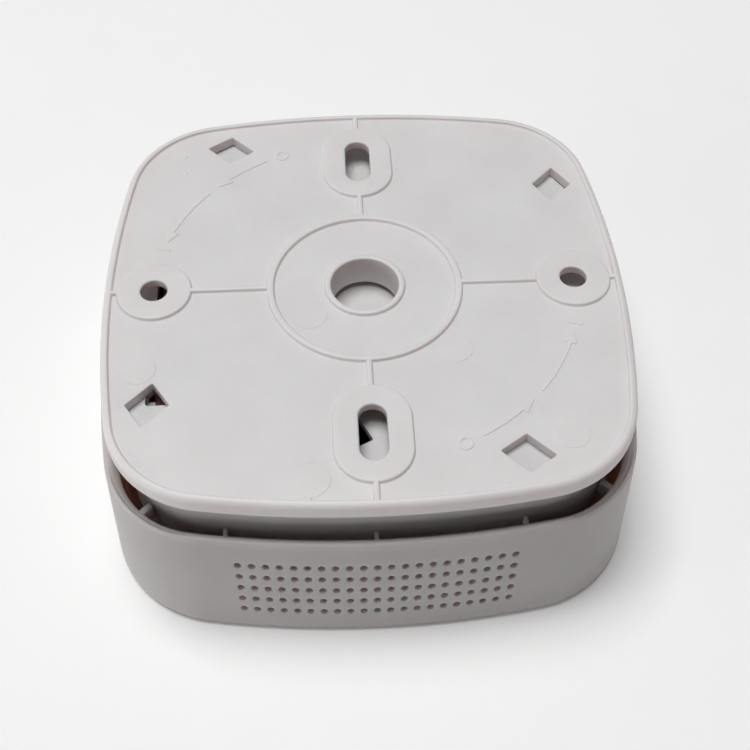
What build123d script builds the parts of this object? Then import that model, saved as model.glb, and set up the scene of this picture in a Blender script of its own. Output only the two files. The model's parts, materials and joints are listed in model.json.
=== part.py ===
"""Square smoke alarm with a twist-off mounting plate, hung from a ceiling.

Frame: +Z points at the ceiling, z = 0 is the back plane of the mounting plate, and the origin is the centre
of its cable entry. The sound grille is in the -Y wall. Millimetres.
"""
import os
from math import cos, radians, sin, sqrt, tan

from build123d import *

# ---- driving dimensions -------------------------------------------------------------------------------------
# mounting plate
plate_half = 60.0
plate_corner = 24.0
side_bow = 226.0
plate_edge = 4.7
plate_rim = 1.8
panel_drop = 0.8
panel_under = -2.4
rib_width = 1.2
ring_outer = 22.6
ring_inner = 21.0
collar_outer = 9.3
entry_r = 7.85
collar_end = -8.4
screw_spacing = 83.3
slot_half = 3.05
slot_length = 14.2
slot_boss_half = 8.5
slot_boss_length = 25.0
hole_spacing = 97.0
hole_r = 3.1
hole_boss_r = 8.6

# bayonet, measured along (u) and across (t) a ray at window_angle
window_angle = 33.75
window_reach = 57.7
window_depth = 7.8
window_width = 7.2
window_skew = 1.6
window_collar = 1.2
window_collar_end = -3.3
hook_top = -3.6
hook_thickness = 1.3
ledge_top = -5.2
ledge_bottom = -6.4
twist_gap = 0.3
twist_range = 12.0

# rear housing
base_z = -7.0
base_half = 56.7
base_corner = 20.7
base_bow = 222.7
base_wall = 2.0
base_floor = 2.0
skirt_end = -24.0
recess_r = 12.0
recess_z = -9.8
recess_wall = 1.5
bay_left = -49.0
bay_right = -21.0
bay_front = -30.3
bay_back = 26.5
bay_depth_z = -26.0
bay_wall = 1.5
case_screw_place = 42.5
case_screw_seat = -9.8
case_boss_end = -12.0
case_boss_r = 5.0
board_posts = [(44, -12), (6, 47), (-34, 44), (-27, -44)]
post_r = 3.2

# front cover
lip_z = -13.0
face_z = -48.0
cover_half = 64.0
cover_corner = 27.1
cover_flare = 3.15
cover_wall = 2.3
face_wall = 2.4
face_round = 2.5
lip_half = 59.0
lip_corner = 19.5
lip_under = -17.5
lip_slope_z = -15.0
lip_slope = 40.0
spacer_top = -15.0
spacer_end = -19.5
spacer_width = 1.0
spacer_place = 32.0
corner_ribs = (45.0, 135.0, 225.0, 316.8)
grille_columns = 21
grille_rows = 5
grille_pitch_x = 2.98
grille_pitch_z = 4.5
grille_z = -30.1
grille_hole_width = 1.6
grille_hole_height = 2.2
button_hole_r = 9.4
button_tube_r = 11.3
button_tube_wall = 1.2
case_post_r = 4.2

# circuit board and what stands on it
board_top = -28.0
board_under = -29.6
board_half = 48.0
chamber_place = (25.0, 24.0)
chamber_r = 19.0
chamber_end = -43.2
horn_place = (0.0, -38.0)
horn_r = 17.5
horn_end = -44.6
led_place = (0.0, 19.0)
button_travel = 1.0

# battery
battery_width = 26.5
battery_length = 48.5
battery_height = 17.5
battery_front = -28.6
battery_top = -7.9


# ---- helpers ------------------------------------------------------------------------------------------------
def soft_square(half, corner, bow, height):
    """Square outline with bowed sides of radius bow, joined by tangent corner arcs."""
    shift = half - bow
    reach = bow - corner
    centre = (shift + sqrt(2 * reach**2 - shift**2)) / 2
    join_x = centre + corner * centre / reach
    join_y = centre + corner * (centre - shift) / reach
    peak = centre + corner * sqrt(0.5)
    with BuildSketch(Plane.XY.offset(height), mode=Mode.PRIVATE) as outline:
        with BuildLine():
            for turn in range(4):
                start = Vector(join_x, join_y).rotate(Axis.Z, 90 * turn)
                middle = Vector(0, half).rotate(Axis.Z, 90 * turn)
                join = Vector(-join_x, join_y).rotate(Axis.Z, 90 * turn)
                corner_middle = Vector(-peak, peak).rotate(Axis.Z, 90 * turn)
                end = Vector(-join_y, join_x).rotate(Axis.Z, 90 * turn)
                ThreePointArc(start, middle, join)
                ThreePointArc(join, corner_middle, end)
        make_face()
    return outline.sketch


def plate_outline(inset, height):
    """The plate's outline moved inwards by inset."""
    return soft_square(plate_half - inset, plate_corner - inset, side_bow - inset, height)


def cover_outline(inset, height):
    """The cover's outline at its flared face, moved inwards by inset."""
    bow = side_bow + cover_half - plate_half
    return soft_square(cover_half - inset, cover_corner - inset, bow - inset, height)


def ray_plane(turn, height):
    """Plane at height whose X runs outwards along bayonet ray number turn."""
    return Plane.XY.offset(height).rotated((0, 0, window_angle + 90 * turn))


def window_corners(grow):
    """Corners of a bayonet window, grown by grow on every side."""
    inner = window_reach - window_depth / 2 - grow
    outer = window_reach + window_depth / 2 + grow
    half = window_width / 2 + grow
    lean = window_skew / 2
    return [(inner, -half - lean), (inner, half - lean), (outer, half + lean), (outer, -half + lean)]


def finish(piece, name):
    """Label a piece and write its STEP file."""
    piece.label = name
    export_step(piece, f"parts/{name}.step")


os.makedirs("parts", exist_ok=True)

# ---- mounting plate -----------------------------------------------------------------------------------------
ledge_inner = window_reach - window_depth / 2 - 0.8
ledge_outer = window_reach + window_depth / 2 + 0.7
ledge_start = -5.0
ledge_stop = 3.5
stop_wall = 1.3
outer_wall = 1.4
short_ledge_inner = 58.2

with BuildPart() as mounting_plate:
    extrude(plate_outline(0, -plate_edge), amount=plate_edge)
    fillet(edges().group_by(Axis.Z)[-1], radius=0.8)
    fillet(edges().group_by(Axis.Z)[0], radius=1.0)
    extrude(plate_outline(plate_rim, -panel_drop), amount=panel_drop, mode=Mode.SUBTRACT)
    extrude(plate_outline(plate_rim, -plate_edge), amount=plate_edge + panel_under, mode=Mode.SUBTRACT)
    # cross ribs and the ring around the cable collar
    with BuildSketch(Plane.XY.offset(-panel_drop - 0.2)):
        Rectangle(2 * plate_half - plate_rim, rib_width)
        Rectangle(rib_width, 2 * plate_half - plate_rim)
        Circle(ring_inner, mode=Mode.SUBTRACT)
        with Locations((0, 0)):
            Circle(ring_outer)
            Circle(ring_inner, mode=Mode.SUBTRACT)
    extrude(amount=panel_drop + 0.2)
    # bosses for the screws
    with BuildSketch(Plane.XY.offset(panel_under)):
        with Locations((0, screw_spacing / 2), (0, -screw_spacing / 2)):
            SlotOverall(slot_boss_length, 2 * slot_boss_half, rotation=90)
        with Locations((hole_spacing / 2, 0), (-hole_spacing / 2, 0)):
            Circle(hole_boss_r)
    extrude(amount=-panel_under)
    # cable collar
    with BuildSketch(Plane.XY.offset(collar_end)):
        Circle(collar_outer)
    extrude(amount=-collar_end)
    # walls around the windows, then a ledge, an outer wall and a stop under each
    for turn in range(4):
        with BuildSketch(ray_plane(turn, window_collar_end)):
            Polygon(*window_corners(window_collar), align=None)
        extrude(amount=panel_under - window_collar_end + 0.2)
        inner = short_ledge_inner if turn == 2 else ledge_inner
        with BuildSketch(ray_plane(turn, ledge_bottom)):
            Polygon((inner, ledge_start - twist_gap), (inner, ledge_stop), (ledge_outer + outer_wall, ledge_stop),
                    (ledge_outer + outer_wall, ledge_start - twist_gap), align=None)
        extrude(amount=ledge_top - ledge_bottom)
        with BuildSketch(ray_plane(turn, ledge_bottom)):
            Polygon((ledge_outer, ledge_start - twist_gap - stop_wall), (ledge_outer, ledge_stop),
                    (ledge_outer + outer_wall, ledge_stop),
                    (ledge_outer + outer_wall, ledge_start - twist_gap - stop_wall), align=None)
            Polygon((ledge_inner, ledge_start - twist_gap - stop_wall), (ledge_inner, ledge_start - twist_gap),
                    (ledge_outer + outer_wall, ledge_start - twist_gap),
                    (ledge_outer + outer_wall, ledge_start - twist_gap - stop_wall), align=None)
        extrude(amount=panel_under - ledge_bottom + 0.2)
    # openings
    for turn in range(4):
        with BuildSketch(ray_plane(turn, window_collar_end)):
            Polygon(*window_corners(0), align=None)
        extrude(amount=-window_collar_end, mode=Mode.SUBTRACT)
    with BuildSketch(Plane.XY.offset(collar_end)):
        Circle(entry_r)
        with Locations((0, screw_spacing / 2), (0, -screw_spacing / 2)):
            SlotOverall(slot_length, 2 * slot_half, rotation=90)
        with Locations((hole_spacing / 2, 0), (-hole_spacing / 2, 0)):
            Circle(hole_r)
    extrude(amount=-collar_end, mode=Mode.SUBTRACT)
finish(mounting_plate.part, "mounting_plate")

# ---- rear housing -------------------------------------------------------------------------------------------
hook_inner = ledge_inner
hook_outer = ledge_outer - 2 * twist_gap
hook_start = ledge_start
neck_start = 5.3
neck_end = 6.9
case_corners = GridLocations(2 * case_screw_place, 2 * case_screw_place, 2, 2)
service_angle = 26.9
service_corner = Vector(0.2, -39.0)
service_size = (8.0, 10.0)
service_centre = service_corner + Vector(-service_size[0] / 2, service_size[1] / 2).rotate(Axis.Z, service_angle)

with BuildPart() as rear_housing:
    extrude(soft_square(base_half, base_corner, base_bow, skirt_end), amount=base_z - skirt_end)
    fillet(edges().group_by(Axis.Z)[-1], radius=1.0)
    extrude(
        soft_square(base_half - base_wall, base_corner - base_wall, base_bow - base_wall, skirt_end),
        amount=base_z - base_floor - skirt_end,
        mode=Mode.SUBTRACT,
    )
    # wiring recess, battery bay, case screw bosses and board posts grow down from the floor
    with BuildSketch(Plane.XY.offset(base_z - base_floor)):
        Circle(recess_r + recess_wall)
    extrude(amount=recess_z - recess_wall - base_z + base_floor)
    with BuildSketch(Plane.XY.offset(base_z - base_floor)):
        with Locations(((bay_left + bay_right) / 2, (bay_front + bay_back) / 2)):
            Rectangle(bay_right - bay_left + 2 * bay_wall, bay_back - bay_front + 2 * bay_wall)
    extrude(amount=bay_depth_z - bay_wall - base_z + base_floor)
    with BuildSketch(Plane.XY.offset(base_z - base_floor)):
        with case_corners:
            Circle(case_boss_r)
    extrude(amount=case_boss_end - base_z + base_floor)
    with BuildSketch(Plane.XY.offset(base_z - base_floor)):
        with Locations(*board_posts):
            Circle(post_r)
    extrude(amount=board_top - base_z + base_floor)
    # bayonet hooks: a neck standing on the floor and a pad reaching back over the plate's ledge
    for turn in range(4):
        with BuildSketch(ray_plane(turn, base_z - 0.2)):
            Polygon((hook_inner, neck_start), (hook_inner, neck_end), (hook_outer, neck_end),
                    (hook_outer, neck_start), align=None)
        extrude(amount=hook_top - base_z + 0.2)
        with BuildSketch(ray_plane(turn, hook_top - hook_thickness)):
            Polygon((hook_inner, hook_start), (hook_inner, neck_end), (hook_outer, neck_end),
                    (hook_outer, hook_start), align=None)
        extrude(amount=hook_thickness)
    # hollows
    with BuildSketch(Plane.XY.offset(recess_z)):
        Circle(recess_r)
    extrude(amount=base_z - recess_z, mode=Mode.SUBTRACT)
    with BuildSketch(Plane.XY.offset(bay_depth_z)):
        with Locations(((bay_left + bay_right) / 2, (bay_front + bay_back) / 2)):
            Rectangle(bay_right - bay_left, bay_back - bay_front)
    extrude(amount=-bay_depth_z, mode=Mode.SUBTRACT)
    with BuildSketch(Plane.XY.offset(base_z - base_floor).rotated((0, 0, service_angle))):
        with Locations(service_centre.rotate(Axis.Z, -service_angle)):
            Rectangle(*service_size)
    extrude(amount=base_floor, mode=Mode.SUBTRACT)
    with BuildSketch(Plane.XY.offset(case_screw_seat)):
        with case_corners:
            Circle(3.3)
    extrude(amount=base_z - case_screw_seat, mode=Mode.SUBTRACT)
    with BuildSketch(Plane.XY.offset(case_boss_end)):
        with case_corners:
            Circle(1.75)
    extrude(amount=case_screw_seat - case_boss_end, mode=Mode.SUBTRACT)
    with BuildSketch(Plane.XY.offset(board_top)):
        with Locations(*board_posts):
            Circle(1.05)
    extrude(amount=9, mode=Mode.SUBTRACT)
    # lead holes through the bay's back wall
    with BuildSketch(Plane.XZ.offset(-bay_back - bay_wall)):
        with Locations((bay_left + 7, -20), (bay_right - 7, -20)):
            Circle(1.3)
    extrude(amount=bay_wall, mode=Mode.SUBTRACT)
    # finger over the battery's front corner and the gate mark in the recess
    with BuildSketch(Plane.XY.offset(battery_top + 0.4)):
        with Locations((bay_left + 0.75, battery_front + 0.7)):
            Rectangle(2.3, 1.4)
    extrude(amount=1.2)
    with BuildSketch(Plane.XY.offset(recess_z - 0.2)):
        with Locations((3.3, 0.5)):
            Rectangle(2.2, 0.6)
    extrude(amount=0.55)
finish(rear_housing.part, "rear_housing")

# ---- front cover --------------------------------------------------------------------------------------------
cover_height = lip_z - face_z
inner_floor = face_z + face_wall
lip_bow = 225.0
inner_drop = face_wall * tan(radians(cover_flare))

with BuildPart() as front_cover:
    extrude(cover_outline(0, face_z), amount=cover_height, taper=cover_flare)
    fillet(edges().group_by(Axis.Z)[0], radius=face_round)
    extrude(cover_outline(cover_wall + inner_drop, inner_floor), amount=lip_under - inner_floor,
            taper=cover_flare, mode=Mode.SUBTRACT)
    extrude(soft_square(lip_half, lip_corner, lip_bow, lip_under), amount=lip_z - lip_under, mode=Mode.SUBTRACT)
    extrude(soft_square(lip_half, lip_corner, lip_bow, lip_slope_z), amount=lip_z - lip_slope_z,
            taper=-lip_slope, mode=Mode.SUBTRACT)
    fillet(faces().sort_by(Axis.Z)[-1].outer_wire().edges(), radius=0.5)
    # spacer ribs inside the lip, three a side and one on each diagonal
    for turn in range(4):
        with BuildSketch(Plane.XY.offset(spacer_end).rotated((0, 0, 90 * turn))):
            for place in (-spacer_place, 0, spacer_place):
                dip = place**2 / (2 * lip_bow)
                with Locations((lip_half - dip - 0.4, place)):
                    Rectangle(3.2, spacer_width)
        extrude(amount=spacer_top - spacer_end)
        with BuildSketch(Plane.XY.offset(spacer_end).rotated((0, 0, corner_ribs[turn]))):
            with Locations((70.0, 0)):
                Rectangle(4.0, 1.5 * spacer_width)
        extrude(amount=spacer_top - spacer_end)
    # case screw posts and the button's guide tube stand on the face
    with BuildSketch(Plane.XY.offset(inner_floor - 0.2)):
        with case_corners:
            Circle(case_post_r)
    extrude(amount=case_boss_end - inner_floor + 0.2)
    with BuildSketch(Plane.XY.offset(case_boss_end - 15)):
        with case_corners:
            Circle(1.35)
    extrude(amount=15, mode=Mode.SUBTRACT)
    with BuildSketch(Plane.XY.offset(inner_floor - 0.2)):
        Circle(button_tube_r + button_tube_wall)
        Circle(button_tube_r, mode=Mode.SUBTRACT)
    extrude(amount=5.6)
    with BuildSketch(Plane.XY.offset(face_z)):
        Circle(button_hole_r)
        with Locations(led_place):
            Circle(1.7)
    extrude(amount=face_wall, mode=Mode.SUBTRACT)
    # sound grille
    with BuildSketch(Plane.XZ.offset(cover_half - 9).shift_origin((0, -cover_half + 9, grille_z))):
        with GridLocations(grille_pitch_x, grille_pitch_z, grille_columns, grille_rows):
            Ellipse(grille_hole_width / 2, grille_hole_height / 2)
    extrude(amount=12, mode=Mode.SUBTRACT)
finish(front_cover.part, "front_cover")

# ---- case screws --------------------------------------------------------------------------------------------
with BuildPart() as housing_screws:
    with BuildSketch(Plane.XY.offset(case_screw_seat)):
        with case_corners:
            Circle(2.8)
    extrude(amount=2.0)
    with BuildSketch(Plane.XY.offset(case_screw_seat - 11)):
        with case_corners:
            Circle(1.3)
    extrude(amount=11)
    with BuildSketch(Plane.XY.offset(case_screw_seat + 1.0)):
        with case_corners:
            Rectangle(3.2, 0.7)
            Rectangle(0.7, 3.2)
    extrude(amount=1.0, mode=Mode.SUBTRACT)
finish(housing_screws.part, "housing_screws")

# ---- battery and its snap -----------------------------------------------------------------------------------
bay_centre = (bay_left + bay_right) / 2
battery_mid = battery_front + battery_length / 2
battery_back = battery_front + battery_length
terminal_z = battery_top - battery_height / 2
terminal_gap = 6.4

with BuildPart() as battery_block:
    with BuildSketch(Plane.XY.offset(battery_top - battery_height)):
        with Locations((bay_centre, battery_mid)):
            Rectangle(battery_width, battery_length)
    extrude(amount=battery_height)
    fillet(edges().filter_by(Axis.Y), radius=2.0)
finish(battery_block.part, "battery_block")

with BuildPart() as battery_terminals:
    with BuildSketch(Plane.XZ.offset(-battery_back - 2.4)):
        with Locations((bay_centre - terminal_gap, terminal_z)):
            Circle(2.9)
        with Locations((bay_centre + terminal_gap, terminal_z)):
            RegularPolygon(4.2, 6)
            Circle(3.0, mode=Mode.SUBTRACT)
    extrude(amount=2.4)
finish(battery_terminals.part, "battery_terminals")

with BuildPart() as battery_snap:
    with BuildSketch(Plane.XZ.offset(-battery_back - 5.6)):
        with Locations((bay_centre, terminal_z)):
            SlotOverall(25.4, 12.4)
    extrude(amount=3.0)
    fillet(edges().group_by(Axis.Y)[-1], radius=0.8)
finish(battery_snap.part, "battery_snap")

for lead_name, lead_x in (("lead_positive", bay_left + 7), ("lead_negative", bay_right - 7)):
    with BuildPart() as lead:
        with BuildLine() as lead_route:
            FilletPolyline(
                (lead_x, battery_back + 5.6, -20), (lead_x, battery_back + 15, -20),
                (lead_x, battery_back + 15, board_top), radius=3.6,
            )
        with BuildSketch(Plane(origin=lead_route.line @ 0, z_dir=lead_route.line % 0)):
            Circle(0.75)
        sweep(path=lead_route.line)
    finish(lead.part, lead_name)

# ---- circuit board ------------------------------------------------------------------------------------------
with BuildPart() as circuit_board:
    with BuildSketch(Plane.XY.offset(board_under)):
        RectangleRounded(2 * board_half, 2 * board_half, 6)
        with case_corners:
            Circle(case_post_r + 1.6, mode=Mode.SUBTRACT)
        with Locations(*board_posts):
            Circle(1.6, mode=Mode.SUBTRACT)
    extrude(amount=board_top - board_under)
finish(circuit_board.part, "circuit_board")

with BuildPart() as board_screws:
    with BuildSketch(Plane.XY.offset(board_under - 1.6)):
        with Locations(*board_posts):
            Circle(2.5)
    extrude(amount=1.6)
    fillet(edges().group_by(Axis.Z)[0], radius=0.7)
    with BuildSketch(Plane.XY.offset(board_under)):
        with Locations(*board_posts):
            Circle(1.0)
    extrude(amount=7.5)
    with BuildSketch(Plane.XY.offset(board_under - 1.6)):
        with Locations(*board_posts):
            Rectangle(2.6, 0.6)
            Rectangle(0.6, 2.6)
    extrude(amount=0.8, mode=Mode.SUBTRACT)
finish(board_screws.part, "board_screws")

chip_place = (-30.0, 22.0)
with BuildPart() as controller_chip:
    with BuildSketch(Plane.XY.offset(board_under - 3.9)):
        with Locations(chip_place):
            Rectangle(19.4, 6.4)
    extrude(amount=3.3)
    chamfer(edges().group_by(Axis.Z)[0], length=0.4)
    with BuildSketch(Plane.XY.offset(board_under - 3.9)):
        with Locations((chip_place[0] - 9.7, chip_place[1])):
            Circle(1.2)
    extrude(amount=0.6, mode=Mode.SUBTRACT)
finish(controller_chip.part, "controller_chip")

with BuildPart() as chip_legs:
    for side in (-1, 1):
        with BuildSketch(Plane.XY.offset(board_under - 2.6)):
            with Locations((chip_place[0], chip_place[1] + side * 3.75)):
                with GridLocations(2.54, 1, 8, 1):
                    Rectangle(1.1, 0.9)
        extrude(amount=0.4)
        with BuildSketch(Plane.XY.offset(board_under - 2.3)):
            with Locations((chip_place[0], chip_place[1] + side * 4.05)):
                with GridLocations(2.54, 1, 8, 1):
                    Rectangle(0.6, 0.3)
        extrude(amount=2.3)
finish(chip_legs.part, "chip_legs")

with BuildPart() as electrolytic_capacitors:
    with BuildSketch(Plane.XY.offset(board_under - 11)):
        with Locations((-41, 4), (-41, -6)):
            Circle(3.15)
    extrude(amount=11)
    fillet(edges().group_by(Axis.Z)[0], radius=0.5)
    with BuildSketch(Plane.XY.offset(board_under - 8)):
        with Locations((-31, -24)):
            Circle(4.0)
    extrude(amount=8)
finish(electrolytic_capacitors.part, "electrolytic_capacitors")

with BuildPart() as horn_coil:
    with BuildSketch(Plane.XY.offset(board_under - 9)):
        with Locations((-29, -6)):
            Circle(5.0)
    extrude(amount=9)
    with BuildSketch(Plane.XY.offset(board_under - 7.6)):
        with Locations((-29, -6)):
            Circle(5.0)
            Circle(4.0, mode=Mode.SUBTRACT)
    extrude(amount=6.2, mode=Mode.SUBTRACT)
finish(horn_coil.part, "horn_coil")

with BuildPart() as resistors:
    for row in range(4):
        with BuildSketch(Plane.YZ.offset(-33)):
            with Locations((28.6 + 3.4 * row, board_under - 1.25)):
                Circle(1.15)
        extrude(amount=6)
    fillet(edges().filter_by(GeomType.CIRCLE), radius=0.4)
finish(resistors.part, "resistors")

with BuildPart() as small_components:
    with BuildSketch(Plane.XY.offset(board_under - 0.9)):
        with Locations((-12, 12)):
            with GridLocations(5.0, 3.4, 3, 4):
                Rectangle(2.0, 1.25)
        with Locations((34, -26)):
            with GridLocations(5.0, 3.4, 2, 5):
                Rectangle(2.0, 1.25)
    extrude(amount=0.9)
finish(small_components.part, "small_components")

# ---- test switch and button ---------------------------------------------------------------------------------
switch_under = board_under - 3.6
plunger_rest = switch_under - 1.9
stem_gap = 0.1

with BuildPart() as test_switch:
    with BuildSketch(Plane.XY.offset(switch_under)):
        Rectangle(6.2, 6.2)
    extrude(amount=3.6)
    chamfer(edges().filter_by(Axis.Z), length=0.5)
    with BuildSketch(Plane.XY.offset(switch_under)):
        Circle(1.8)
    extrude(amount=2.5, mode=Mode.SUBTRACT)
finish(test_switch.part, "test_switch")

with BuildPart() as switch_plunger:
    with BuildSketch(Plane.XY.offset(plunger_rest)):
        Circle(1.7)
    extrude(amount=3.0)
    fillet(edges().group_by(Axis.Z)[0], radius=0.3)
finish(switch_plunger.part, "switch_plunger")

with BuildPart() as test_button:
    with BuildSketch(Plane.XY.offset(face_z + 0.3)):
        Circle(button_hole_r - 0.4)
    extrude(amount=inner_floor - face_z)
    fillet(edges().group_by(Axis.Z)[0], radius=0.8)
    with BuildSketch(Plane.XY.offset(inner_floor + 0.3)):
        Circle(button_tube_r - 0.4)
    extrude(amount=1.2)
    with BuildSketch(Plane.XY.offset(inner_floor + 1.4)):
        Circle(2.4)
        Rectangle(12, 1.2)
        Rectangle(1.2, 12)
    extrude(amount=plunger_rest - stem_gap - inner_floor - 1.4)
finish(test_button.part, "test_button")

# ---- status light -------------------------------------------------------------------------------------------
with BuildPart() as status_led:
    with BuildSketch(Plane.XY.offset(board_under - 5.2)):
        with Locations(led_place):
            Circle(1.5)
    extrude(amount=5.2)
    fillet(edges().group_by(Axis.Z)[0], radius=1.3)
    with BuildSketch(Plane.XY.offset(board_under - 1.0)):
        with Locations(led_place):
            Circle(1.9)
    extrude(amount=1.0)
finish(status_led.part, "status_led")

with BuildPart() as led_lens:
    with BuildSketch(Plane.XY.offset(face_z + 0.2)):
        with Locations(led_place):
            Circle(1.65)
    extrude(amount=board_under - 6.0 - face_z - 0.2)
    with BuildSketch(Plane.XY.offset(inner_floor)):
        with Locations(led_place):
            Circle(2.6)
    extrude(amount=1.0)
finish(led_lens.part, "led_lens")

# ---- optical chamber ----------------------------------------------------------------------------------------
chamber_floor = board_under - 2.0
beam_z = -36.6
beam_angles = (200.0, 330.0)
vane_count = 18

with BuildPart() as chamber_base:
    with BuildSketch(Plane.XY.offset(chamber_floor)):
        with Locations(chamber_place):
            Circle(chamber_r)
    extrude(amount=2.0)
    for angle in beam_angles:
        with BuildSketch(Plane.XY.offset(beam_z - 2.6).shift_origin((*chamber_place, beam_z - 2.6))
                         .rotated((0, 0, angle))):
            with Locations((9.6, 0)):
                Rectangle(5.0, 5.4)
        extrude(amount=chamber_floor - beam_z + 2.6)
    for angle in beam_angles:
        across = Plane(
            origin=(chamber_place[0], chamber_place[1], beam_z),
            z_dir=(cos(radians(angle)), sin(radians(angle)), 0),
        ).offset(7.1)
        with BuildSketch(across):
            Circle(1.55)
        extrude(amount=5.0, mode=Mode.SUBTRACT)
finish(chamber_base.part, "chamber_base")

for diode_name, angle in (("infrared_led", beam_angles[0]), ("photodiode", beam_angles[1])):
    across = Plane(
        origin=(chamber_place[0], chamber_place[1], beam_z),
        z_dir=(cos(radians(angle)), sin(radians(angle)), 0),
    )
    with BuildPart() as diode:
        with BuildSketch(across.offset(6.6)):
            Circle(1.5)
        extrude(amount=5.6)
        fillet(edges().sort_by(SortBy.DISTANCE).group_by(Axis((*chamber_place, beam_z), across.z_dir))[0],
               radius=1.2)
    finish(diode.part, diode_name)

with BuildPart() as chamber_cover:
    with BuildSketch(Plane.XY.offset(chamber_end)):
        with Locations(chamber_place):
            Circle(chamber_r)
    extrude(amount=1.5)
    for vane in range(vane_count):
        turn = 360 / vane_count * vane
        with BuildSketch(Plane.XY.offset(chamber_end + 1.4).shift_origin((*chamber_place, chamber_end + 1.4))
                         .rotated((0, 0, turn))):
            with Locations((15.9, 0)):
                Rectangle(5.2, 0.9, rotation=38)
                with Locations((-1.6, -2.0)):
                    Rectangle(0.9, 2.6, rotation=10)
        extrude(amount=chamber_floor - chamber_end - 1.5)
finish(chamber_cover.part, "chamber_cover")

screen_columns = 36
with BuildPart() as insect_screen:
    with BuildSketch(Plane.XY.offset(chamber_end)):
        with Locations(chamber_place):
            Circle(chamber_r + 0.55)
            Circle(chamber_r + 0.15, mode=Mode.SUBTRACT)
    extrude(amount=board_under - chamber_end)
    for level in range(3):
        level_z = chamber_end + 2.6 + 3.7 * level
        slots_plane = Plane.XY.offset(level_z).shift_origin((*chamber_place, level_z))
        with BuildSketch(slots_plane):
            with PolarLocations(chamber_r, screen_columns):
                Rectangle(4, 1.9)
        extrude(amount=2.8, mode=Mode.SUBTRACT)
finish(insect_screen.part, "insect_screen")

with BuildPart() as shield_can:
    can_plane = Plane.XY.offset(beam_z - 3.4).shift_origin((*chamber_place, beam_z - 3.4))
    with BuildSketch(can_plane.rotated((0, 0, beam_angles[1]))):
        with Locations((9.6, 0)):
            Rectangle(5.8, 6.4)
            Rectangle(5.2, 5.8, mode=Mode.SUBTRACT)
    extrude(amount=chamber_floor - beam_z + 3.4)
    with BuildSketch(can_plane.rotated((0, 0, beam_angles[1]))):
        with Locations((9.6, 0)):
            Rectangle(5.8, 6.4)
    extrude(amount=0.3)
    with BuildSketch(across.offset(5.5)):
        Circle(1.8)
    extrude(amount=8.0, mode=Mode.SUBTRACT)
finish(shield_can.part, "shield_can")

# ---- sounder ------------------------------------------------------------------------------------------------
disc_z = -33.0
horn_top = -30.4
mouth_front = -59.0

with BuildPart() as sounder_horn:
    with BuildSketch(Plane.XY.offset(horn_end)):
        with Locations(horn_place):
            Circle(horn_r)
    extrude(amount=horn_top - horn_end)
    with BuildSketch(Plane.XY.offset(horn_end)):
        with Locations((0, (mouth_front + horn_place[1]) / 2)):
            Rectangle(27, horn_place[1] - mouth_front)
    extrude(amount=disc_z - 1.2 - horn_end)
    with BuildSketch(Plane.XY.offset(horn_end + 1.4)):
        with Locations(horn_place):
            Circle(horn_r - 3.2)
        with Locations((0, (mouth_front + horn_place[1]) / 2)):
            Rectangle(24.2, horn_place[1] - mouth_front)
    extrude(amount=disc_z - 2.6 - horn_end - 1.4, mode=Mode.SUBTRACT)
    with BuildSketch(Plane.XY.offset(horn_end + 1.4)):
        with Locations(horn_place):
            Circle(horn_r - 3.2)
    extrude(amount=horn_top - horn_end - 1.4, mode=Mode.SUBTRACT)
    with BuildSketch(Plane.XY.offset(disc_z)):
        with Locations(horn_place):
            Circle(horn_r - 1.4)
    extrude(amount=horn_top - disc_z, mode=Mode.SUBTRACT)
finish(sounder_horn.part, "sounder_horn")

with BuildPart() as piezo_disc:
    with BuildSketch(Plane.XY.offset(disc_z)):
        with Locations(horn_place):
            Circle(horn_r - 1.5)
    extrude(amount=0.25)
finish(piezo_disc.part, "piezo_disc")

with BuildPart() as piezo_ceramic:
    with BuildSketch(Plane.XY.offset(disc_z + 0.25)):
        with Locations(horn_place):
            Circle(11.0)
    extrude(amount=0.25)
finish(piezo_ceramic.part, "piezo_ceramic")

with BuildPart() as piezo_contacts:
    for contact_x, contact_z in ((-13.6, disc_z + 0.25), (0.0, disc_z + 0.5), (7.0, disc_z + 0.5)):
        with BuildSketch(Plane.XY.offset(contact_z)):
            with Locations((contact_x, horn_place[1])):
                Circle(0.9)
        extrude(amount=board_under - contact_z)
finish(piezo_contacts.part, "piezo_contacts")
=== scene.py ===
"""Looks of a square smoke alarm that lies on its face, with its mounting plate uppermost.

Lengths of shapes are in millimetres and are turned into metres when a mesh is made. The depths in the
materials and everything about the floor, lights and camera are in metres.
"""
import json
from math import atan2, cos, pi, radians, sin, sqrt, tan

import bmesh
import bpy
from mathutils import Matrix, Vector
from mathutils.geometry import tessellate_polygon


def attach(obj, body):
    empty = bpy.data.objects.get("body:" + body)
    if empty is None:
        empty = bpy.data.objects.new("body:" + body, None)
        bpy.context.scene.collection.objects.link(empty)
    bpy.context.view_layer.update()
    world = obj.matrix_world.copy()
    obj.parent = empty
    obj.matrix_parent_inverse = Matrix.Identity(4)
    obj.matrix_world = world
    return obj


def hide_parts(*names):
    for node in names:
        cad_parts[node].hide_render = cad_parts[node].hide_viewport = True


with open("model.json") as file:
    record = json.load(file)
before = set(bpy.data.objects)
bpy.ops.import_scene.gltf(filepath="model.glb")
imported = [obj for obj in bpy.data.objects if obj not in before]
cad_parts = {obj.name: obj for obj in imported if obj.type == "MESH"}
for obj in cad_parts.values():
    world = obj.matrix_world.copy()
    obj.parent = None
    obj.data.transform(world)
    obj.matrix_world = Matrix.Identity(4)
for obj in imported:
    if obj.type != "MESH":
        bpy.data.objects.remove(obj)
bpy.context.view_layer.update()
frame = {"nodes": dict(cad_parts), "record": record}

# ---- dimensions shared with the CAD; heights are below the back plane of the plate ---------------
PLATE = dict(half=60.0, corner=24.0, bow=226.0)
BASE = dict(half=56.7, corner=20.7, bow=222.7)
COVER = dict(half=64.0, corner=27.1, bow=230.0)
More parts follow.
